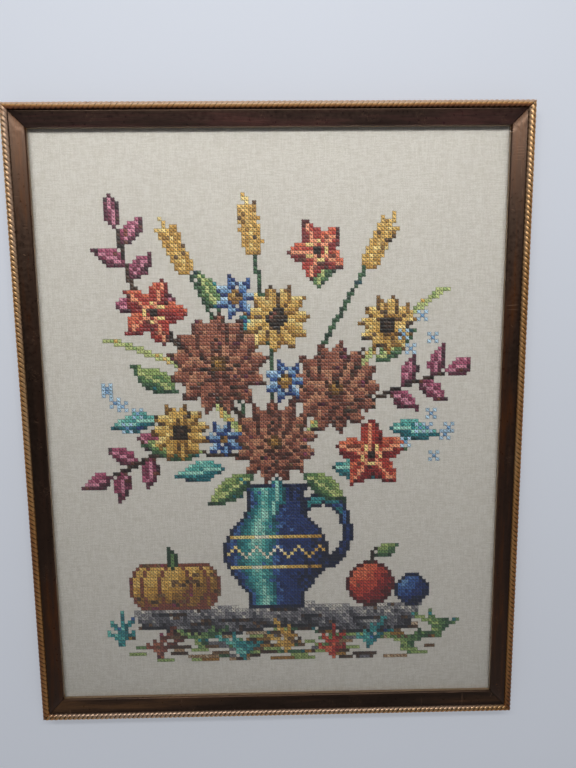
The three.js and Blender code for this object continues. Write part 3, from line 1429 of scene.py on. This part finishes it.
    def hole(self, row: np.ndarray, column: np.ndarray, holes: np.ndarray) -> np.ndarray:
        """Place of holes in the linen, in millimetres.

        Args:
            row: row of each hole, from the foot of the chart.
            column: column of each hole, from the left of the chart.
            holes: how far each hole is off its place.

        Returns:
            X and Y of each hole.
        """
        x = (column - self.chart.columns / 2) * self.pitch
        y = (row - self.chart.rows / 2) * self.pitch + self.raised
        return np.stack([x, y], -1) + holes[row, column]

    def unwrap(self, piece: bpy.types.Object, legs: int) -> None:
        """Gives each leg its own strip of a square map, with a margin round it.

        Args:
            piece: the piece of stitching.
            legs: how many legs it has.
        """
        rows = math.ceil(math.sqrt(2 * legs))
        columns = math.ceil(legs / rows)
        margin = self.map_margin
        s = (np.array(self.stations) + 1)[None, :, None] / 2
        v = (np.array(self.across) + 1)[None, None, :] / 2
        leg = np.arange(legs)[:, None, None]
        u = (leg % columns) / columns + margin + s * (1 / columns - 2 * margin) + 0 * v
        w = (leg // columns) / rows + margin + v * (1 / rows - 2 * margin) + 0 * s
        flat = np.stack([u, w], -1).reshape(-1, 2)
        # The bed has one even painted shadow tone, so a corner of the map does for all of it.
        corner = np.tile([(0.0, 0.0), (1.0, 0.0), (1.0, 1.0), (0.0, 1.0)], (legs // 2, 1))
        flat = np.concatenate([flat, corner * margin / 2])
        corners = np.empty(len(piece.data.loops), np.int32)
        piece.data.loops.foreach_get("vertex_index", corners)
        layer = piece.data.uv_layers.new(name="OFBake")
        layer.data.foreach_set("uv", flat[corners].ravel())


@dataclass
class Linen:
    """The linen, stretched flat over the backing board."""

    cell: float = 4.0
    ripple: float = 0.06

    def build(self) -> bpy.types.Object:
        """Makes the cloth as a closed sheet with the faint ripple of stretched cloth.

        Returns:
            The sheet.
        """
        low, high = box_mm("linen")
        counts = [round((high[i] - low[i]) / self.cell) + 1 for i in (0, 1)]
        x, y = np.meshgrid(*(np.linspace(low[i], high[i], counts[i]) for i in (0, 1)))
        wave = np.sin(x / 11 + 1.3 * np.sin(y / 47)) * np.sin(y / 17 + 0.8 * np.sin(x / 39))
        ripple = self.ripple * (wave - 1)
        face = np.stack([x, y, high[2] + ripple], -1).reshape(-1, 3)
        back = np.stack([x, y, low[2] + 0 * ripple], -1).reshape(-1, 3)
        quads = grid_quads(counts[1], counts[0], False)
        number = np.arange(len(face)).reshape(counts[1], counts[0])
        edge = np.concatenate([number[0, :-1], number[:-1, -1], number[-1, :0:-1], number[:0:-1, 0]])
        after = np.roll(edge, -1)
        below = len(face)
        sides = np.stack([edge + below, after + below, after, edge], -1)
        sheet = make_piece(
            "linen_cloth",
            np.concatenate([face, back]),
            np.concatenate([quads, quads[:, ::-1] + below, sides]),
            WovenLinen().material(),
        )
        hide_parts("linen")
        return sheet


@dataclass
class Bar:
    """One side of the frame, made lying along X at the foot of the picture and then turned.

    A point of its section has an inset from the frame's outer edge and a height over its back.
    """

    side: Side
    # How far each end stays off its mitre, in mm.
    joint: float = 0.2
    reach: float = field(init=False)
    half: float = field(init=False)

    def __post_init__(self) -> None:
        """Takes the bar's outer edge and its half length there from the CAD part's box."""
        low, high = (np.array(corner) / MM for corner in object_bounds())
        sizes = (high - low)[:2] / 2
        upright = self.side in (Side.LEFT, Side.RIGHT)
        self.half, self.reach = (sizes[1], sizes[0]) if upright else (sizes[0], sizes[1])

    def laid(self, along: np.ndarray, inset: np.ndarray, height: np.ndarray) -> np.ndarray:
        """Puts points of the bar in place.

        Args:
            along: where each is along the bar, from -1 at one mitre to 1 at the other.
            inset: how far each is in from the frame's outer edge.
            height: how high each is over the back.

        Returns:
            X, Y and Z of each point.
        """
        x, y, z = np.broadcast_arrays(self.mitred(along, inset), inset - self.reach, height)
        for _ in range(self.side.value):
            x, y = -y, x
        return np.stack([x, y, z], -1)

    def mitred(self, along: np.ndarray, inset: np.ndarray) -> np.ndarray:
        """Distance from the bar's middle, with its ends cut at 45 degrees and a fine joint."""
        return along * (self.half - inset - self.joint)

    @staticmethod
    def drift(along: np.ndarray, values: Sequence[float]) -> np.ndarray:
        """A tone that changes slowly along the bar through values at even distances."""
        return np.interp(along, np.linspace(-1, 1, len(values)), values)


@dataclass(frozen=True)
class Stain:
    """How the stain took on one side of the frame, and how that side has aged since. Its
    thinness also carries painted light, and the shade beside the rope is painted.
    """

    # How thin it is along the bar, from the end that is laid first. It is partly real stain and
    # partly painted light.
    thin: tuple[float, ...]
    # Its hue is plum below 0.5 and olive above.
    hue: float
    fullness: float
    # How far the painted shade beside the rope reaches over the face, in mm.
    rope_shading: float


@dataclass
class Moulding:
    """Walnut-stained bar: a ledge for the rope, a face that falls inward and a round nose.

    Its section repeats the CAD part's, with rounder turns.
    """

    width: float = 20.2
    wall: float = 0.6
    ledge: float = 12.4
    step: float = 6.6
    shoulder: float = 1.0
    shoulder_height: float = 16.4
    slope: float = math.radians(13)
    nose: float = 1.9
    ceiling: float = 10.0
    rebate: float = 6.0
    arris: float = 0.25
    # How far up from the ceiling of the rebate the inner wall is painted pale, a painted light.
    wiped: float = 3.2
    # Points round the shoulder, down the face and round the nose, and stations along the bar.
    shoulder_points: int = 7
    face_points: int = 6
    nose_points: int = 9
    stations: int = 60
    stains: dict[Side, Stain] = field(
        default_factory=lambda: {
            Side.BOTTOM: Stain((0.9, 0.85, 0.8, 0.6, 0.5, 0.5, 0.56, 0.58), 0.522, 0.9, 2.5),
            Side.RIGHT: Stain((0.54, 0.58, 0.6, 0.62, 0.6, 0.48, 0.74), 0.508, 1.2, 2.5),
            Side.TOP: Stain((0.64, 0.56, 0.72, 0.72, 0.64, 0.6, 0.5), 0.472, 0.8, 4.0),
            Side.LEFT: Stain((0.92, 0.58, 0.42, 0.14, 0.34, 0.72, 0.46), 0.508, 1.3, 6.5),
        }
    )

    def section(self) -> np.ndarray:
        """Works out the section, from the back of the outer wall round.

        Returns:
            Inset and height of each point.
        """
        turn = np.linspace(math.pi, math.pi / 2 - self.slope, self.shoulder_points)
        shoulder_inset = self.step + self.shoulder
        shoulder = self.arc((shoulder_inset, self.shoulder_height), self.shoulder, turn)
        nose_inset = self.width - self.nose
        fall = (nose_inset - shoulder_inset) * math.tan(self.slope)
        nose_height = self.shoulder_height + (self.shoulder - self.nose) / math.cos(self.slope) - fall
        turn = np.linspace(math.pi / 2 - self.slope, 0, self.nose_points)
        nose = self.arc((nose_inset, nose_height), self.nose, turn)
        face = np.linspace(shoulder[-1], nose[0], self.face_points)[1:-1]
        inside = self.width - self.rebate
        return np.concatenate(
            [
                [(self.wall, 0), (self.wall, self.ledge), (self.step, self.ledge)],
                shoulder,
                face,
                nose,
                [(self.width, self.ceiling), (inside, self.ceiling), (inside, 0)],
            ]
        )

    @staticmethod
    def arc(centre: tuple[float, float], radius: float, turn: np.ndarray) -> np.ndarray:
        """Points of an arc of the section, at these angles round its centre."""
        return np.stack([centre[0] + radius * np.cos(turn), centre[1] + radius * np.sin(turn)], -1)

    def build(self, side: Side, material: bpy.types.Material) -> bpy.types.Object:
        """Makes one side of the moulding with softened arrises.

        Args:
            side: which side of the frame it is.
            material: its finish.

        Returns:
            The bar.
        """
        section = self.section()
        stain = self.stains[side]
        bar = Bar(side)
        around = len(section)
        along = np.linspace(-1, 1, self.stations)[:, None]
        inset, height = section[:, 0][None, :], section[:, 1][None, :]
        points = bar.laid(along, inset, height).reshape(-1, 3)
        lengthwise = np.broadcast_arrays(bar.mitred(along, inset), inset, height)
        grain = np.stack(lengthwise, -1).reshape(-1, 3)
        nearly = 0.1
        # Painted light: the inner wall under the nose is marked to be painted pale.
        under_nose = (inset > self.width - nearly) & (height < self.ceiling + self.wiped)
        # Painted shade: the face darkens towards the rope, where shade falls.
        by_rope = np.clip(1 - (inset - self.step - self.shoulder) / stain.rope_shading, 0, 1)
        on_face = inset > self.step - nearly
        # A value for each point: adding 0 times the other direction spreads it over the bar.
        sight = np.where(under_nose, 1.0, 0.0) + 0 * along
        rope_shade = np.where(on_face, by_rope, 0.0) + 0 * along
        thin = bar.drift(along, stain.thin) + 0 * inset
        ends = [np.arange(around), np.arange(around)[::-1] + (self.stations - 1) * around]
        name = side.name.lower()
        piece = make_piece(
            f"moulding_{name}",
            points,
            grid_quads(self.stations, around, True)[:, ::-1],
            material,
            ends,
            {
                "timber": grain + BAR_APART * side.value,
                "thin": thin.ravel(),
                "sight": sight.ravel(),
                "rope_shade": rope_shade.ravel(),
                "cast": np.tile((stain.hue, stain.fullness, 1.0), (len(points), 1)),
            },
        )
        bevel = piece.modifiers.new("soft_arrises", "BEVEL")
        bevel.width = self.arris * MM
        bevel.segments = 2
        bevel.limit_method = "ANGLE"
        bevel.angle_limit = math.radians(40)
        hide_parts(f"rail_{name}")
        return piece


@dataclass(frozen=True)
class Wear:
    """How one side of the rope was toned and has worn, and the light and shade painted on it."""

    # How far the toning was wiped off along it, from the end that is laid first. It also
    # paints light along the rope.
    clean: tuple[float, ...]
    # How much paler the outer flank is painted than the crown, a painted light, with painted
    # shade on the other flank. Below 0 the inner flank is painted paler.
    lean: float
    # How much of the leaf is left, and of the glaze in the grooves.
    leaf: float
    glazed: float = 1.0


@dataclass
class RopeBead:
    """Gilt rope of three strands with a left-hand lay, along the outer edge of the frame."""

    diameter: float = 6.4
    centre_height: float = 15.8
    lay_length: float = 13.3
    strand_offset: float = 0.89
    sides: int = 24
    spacing: float = 0.95
    # How much of the glaze a flank of the rope keeps in its grooves, beside its crown.
    flank_glaze: float = 0.55
    # Painted shade: on the flank turned from the lamp, the glaze thickens downwards from this
    # edge this fast.
    flank_shade_edge: float = 1.65
    flank_shade_slope: float = 1.3
    wear: dict[Side, Wear] = field(
        default_factory=lambda: {
            Side.BOTTOM: Wear((0.85, 1.3, 1.25, 1.05, 1.05, 0.85, 0.7), -0.5, 0.7),
            Side.RIGHT: Wear((0.15, 0.4, 0.45, 0.5, 0.55, 0.85, 0.9), -0.3, 0.5),
            Side.TOP: Wear((0.85, 0.95, 1.2, 1.25, 1.2, 1.05, 0.65), 1.5, 0.1, 0.7),
            Side.LEFT: Wear((1.2, 1.05, 0.75, 0.8, 0.4, 0.4, 0.4), -0.3, 0.45),
        }
    )

    def build(self, side: Side, material: bpy.types.Material) -> bpy.types.Object:
        """Makes one side of the rope, cut to its mitres.

        Args:
            side: which side of the frame it is.
            material: its finish.

        Returns:
            The rope.
        """
        bar = Bar(side)
        wear = self.wear[side]
        outer = self.diameter / 2
        strand = outer - self.strand_offset
        stations = round(2 * bar.half / self.spacing)
        along = np.linspace(-1, 1, stations)[:, None]
        turn = (np.arange(self.sides) / self.sides * math.tau)[None, :]
        inset = outer * (1 - np.cos(turn)) + 0 * along
        run = bar.mitred(along, inset)
        phase = turn - math.tau * run / self.lay_length
        third = math.tau / 3
        off = (phase + third / 2) % third - third / 2
        radius = self.strand_offset * np.cos(off)
        radius = radius + np.sqrt(strand**2 - (self.strand_offset * np.sin(off)) ** 2)
        # A groove lies 60 degrees off the middle of a strand, where sin squared is 0.75.
        groove = self.strand_offset / 2 + math.sqrt(strand**2 - 0.75 * self.strand_offset**2)
        crown = (radius - groove) / (outer - groove)
        top = np.clip(np.sin(turn), 0, 1) ** 2
        depth = wear.glazed * (self.flank_glaze + (1 - self.flank_glaze) * top)
        crown = 1 - (1 - crown) * depth
        # Painted shade: the glaze is drawn thicker low on the flank turned from the lamp.
        shaded_flank = self.flank_shade_slope * max(-1, min(1, 2 * wear.lean)) * np.cos(turn)
        crown = crown * np.clip(self.flank_shade_edge + shaded_flank, 0, 1)
        # Painted light: the wiping along the rope, and the paler flank that faces the lamp.
        clean = bar.drift(along, wear.clean) + wear.lean * np.cos(turn)
        inset = outer - radius * np.cos(turn)
        height = self.centre_height + radius * np.sin(turn)
        points = bar.laid(along, inset, height).reshape(-1, 3)
        ends = [np.arange(self.sides)[::-1], np.arange(self.sides) + (stations - 1) * self.sides]
        name = side.name.lower()
        piece = make_piece(
            f"rope_{name}",
            points,
            grid_quads(stations, self.sides, True),
            material,
            ends,
            {
                "crown": crown.ravel(),
                "clean": clean.ravel(),
                "leaf": np.full(crown.size, wear.leaf),
            },
        )
        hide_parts(f"bead_{name}")
        return piece


@dataclass
class Studio:
    """Camera, soft light and pale floor round the picture."""

    stand: tuple[float, float, float] = (4.7, 110.7, 534.3)
    aim: tuple[float, float, float] = (-7.553, -0.992, -0.598)
    lens: float = 27.05
    # The lamp's size and place in metres, and its power in watts.
    lamp_size: tuple[float, float] = (1.0, 0.14)
    lamp_place: tuple[float, float, float] = (-0.02, 0.615, 0.9)
    lamp_power: float = 4.65
    room: str = "#F4F6FF"
    # Where the room's light starts and stops changing, and how bright it is at each. It is
    # palest low down and darkest overhead, with a paler wall beyond the foot.
    overhead: tuple[float, ...] = (0.0, 1.0, 0.22, 0.06)
    beyond_foot: tuple[float, ...] = (-0.25, -0.65, 0.0, 0.14)
    # The floor's size in metres, and how far it is under the picture's back.
    floor_size: float = 6.0
    floor_gap: float = 0.0002

    def camera(self) -> None:
        """Sets the camera over the picture, a little above its middle."""
        data = bpy.data.cameras.new("camera")
        data.lens = self.lens
        data.clip_start = 0.01
        camera = put_in_scene("camera", data)
        camera.location = [c * MM for c in self.stand]
        camera.rotation_euler = Euler([math.radians(a) for a in self.aim])
        bpy.context.scene.camera = camera

    def lights(self) -> None:
        """Sets a broad soft lamp beyond the picture's top and a dimmer room round it."""
        data = bpy.data.lights.new("soft_window", "AREA")
        data.shape = "RECTANGLE"
        data.size, data.size_y = self.lamp_size
        data.energy = self.lamp_power
        put_in_scene("soft_window", data).location = self.lamp_place
        world = bpy.data.worlds.new("room")
        bpy.context.scene.world = world
        world.use_nodes = True
        direction = add_node(world, "TexCoord").outputs["Generated"]
        parts = add_node(world, "SeparateXYZ", {0: direction}).outputs
        glows = {}
        for order, (axis, limits) in enumerate((("Z", self.overhead), ("Y", self.beyond_foot))):
            change = dict(zip(("From Min", "From Max", "To Min", "To Max"), limits))
            glow = add_node(world, "MapRange", {"Value": parts[axis], **change})
            glows[order] = glow.outputs["Result"]
        strength = add_node(world, "Math", glows).outputs[0]
        background = world.node_tree.nodes["Background"]
        fill(world, background, {"Color": linear(self.room), "Strength": strength})

    def floor(self) -> None:
        """Lays the floor just under the picture's back."""
        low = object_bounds()[0]
        half = self.floor_size / 2
        mesh = bpy.data.meshes.new("floor")
        steps = np.linspace(-half, half, 5)
        points = [(x, y, low.z - self.floor_gap) for y in steps for x in steps]
        mesh.from_pydata(points, [], grid_quads(5, 5, False).tolist())
        mesh.materials.append(PaleFloor().material())
        floor = put_in_scene("floor", mesh)
        floor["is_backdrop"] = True


def main() -> None:
    """Builds the picture from the camera to the floor and reports each piece."""
    logging.basicConfig(level=logging.INFO, format="%(message)s")
    bpy.context.scene.view_settings.view_transform = "Standard"
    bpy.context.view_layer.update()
    studio = Studio()
    studio.camera()
    studio.lights()
    studio.floor()

    wood, gilt = StainedWalnut().material(), AntiqueGilt().material()
    bars = [(Moulding(), wood), (RopeBead(), gilt)]
    for side in Side:
        for maker, material in bars:
            piece = maker.build(side, material)
            log.info("%s: %d faces", piece.name, len(piece.data.polygons))

    sheet = Linen().build()
    chart = StillLife().worked()
    stitches = Stitching(chart).build()
    log.info("%s: %d stitches on it", sheet.name, int((chart.cells != EMPTY).sum()))

    for name, finish in (("glass", PictureGlass()), ("backing_board", PulpBoard())):
        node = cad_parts[name]
        node.data.materials.clear()
        node.data.materials.append(finish.material())
        log.info("%s: carried from the CAD part", name)


if __name__ == "__main__":
    main()
